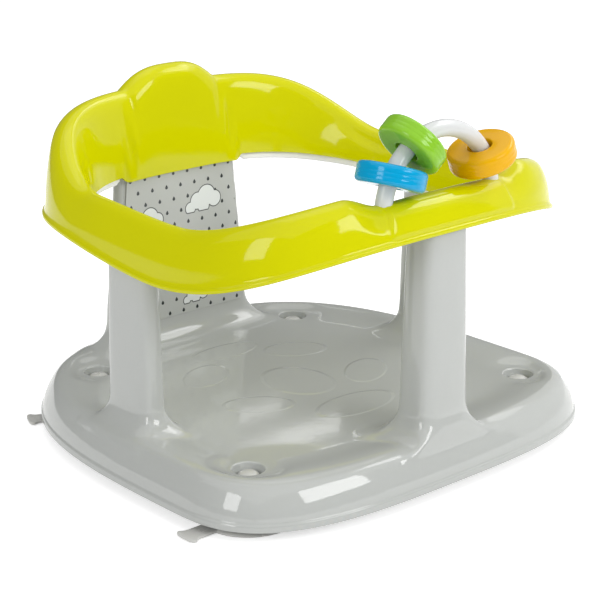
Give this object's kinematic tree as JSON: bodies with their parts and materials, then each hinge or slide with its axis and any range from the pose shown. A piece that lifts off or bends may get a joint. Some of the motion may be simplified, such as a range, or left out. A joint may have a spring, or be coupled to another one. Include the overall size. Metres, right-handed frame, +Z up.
{
  "type": "baby bath seat",
  "caption": "Bath seat for a baby: moulded tray on suction cups, back panel, side columns and front pommel carrying a shaped support ring with a toy arch.",
  "frame": {"origin": "middle of the overall footprint, on the floor of the bath that the suction cups stand on", "axes": "+Z up, the child in the seat faces -Y, +X is the child's left"},
  "size_m": [0.35, 0.326, 0.2478],
  "materials": {
    "grey_shell": "light grey moulded plastic, high gloss",
    "printed_film": "light grey film with a small repeating print, satin gloss",
    "lime_plastic": "lime green moulded plastic, high gloss",
    "white_plastic": "off-white moulded plastic, gloss",
    "blue_plastic": "blue moulded plastic, gloss",
    "green_plastic": "green moulded plastic, gloss",
    "orange_plastic": "orange moulded plastic, gloss",
    "clear_grey_rubber": "soft pale translucent suction cup material, satin"
  },
  "bodies": {
    "seat": {"base_shell": "grey_shell", "backrest_printed_film": "printed_film", "support_ring": "lime_plastic", "ring_under_strip": "white_plastic", "toy_arch": "white_plastic", "suction_cup_front_right": "clear_grey_rubber", "suction_cup_front_left": "clear_grey_rubber", "suction_cup_rear_right": "clear_grey_rubber", "suction_cup_rear_left": "clear_grey_rubber"},
    "blue_ring": {"toy_ring_blue": "blue_plastic"},
    "green_ring": {"toy_ring_green": "green_plastic"},
    "orange_ring": {"toy_ring_orange": "orange_plastic"}
  },
  "joints": [
    {"name": "green_ring_slide", "type": "hinge", "parent": "seat", "child": "green_ring", "pos_m": [0, -0.1378, 0.1859], "axis": [0, 1, 0], "range_deg": [0, 40]},
    {"name": "blue_ring_turn", "type": "hinge", "parent": "seat", "child": "blue_ring", "pos_m": [-0.04123, -0.1378, 0.21048], "axis": [0.3409, 0.0802, 0.9367], "continuous": true},
    {"name": "orange_ring_turn", "type": "hinge", "parent": "seat", "child": "orange_ring", "pos_m": [0.03898, -0.1378, 0.21162], "axis": [-0.3604, 0, 0.9328], "continuous": true}
  ]
}
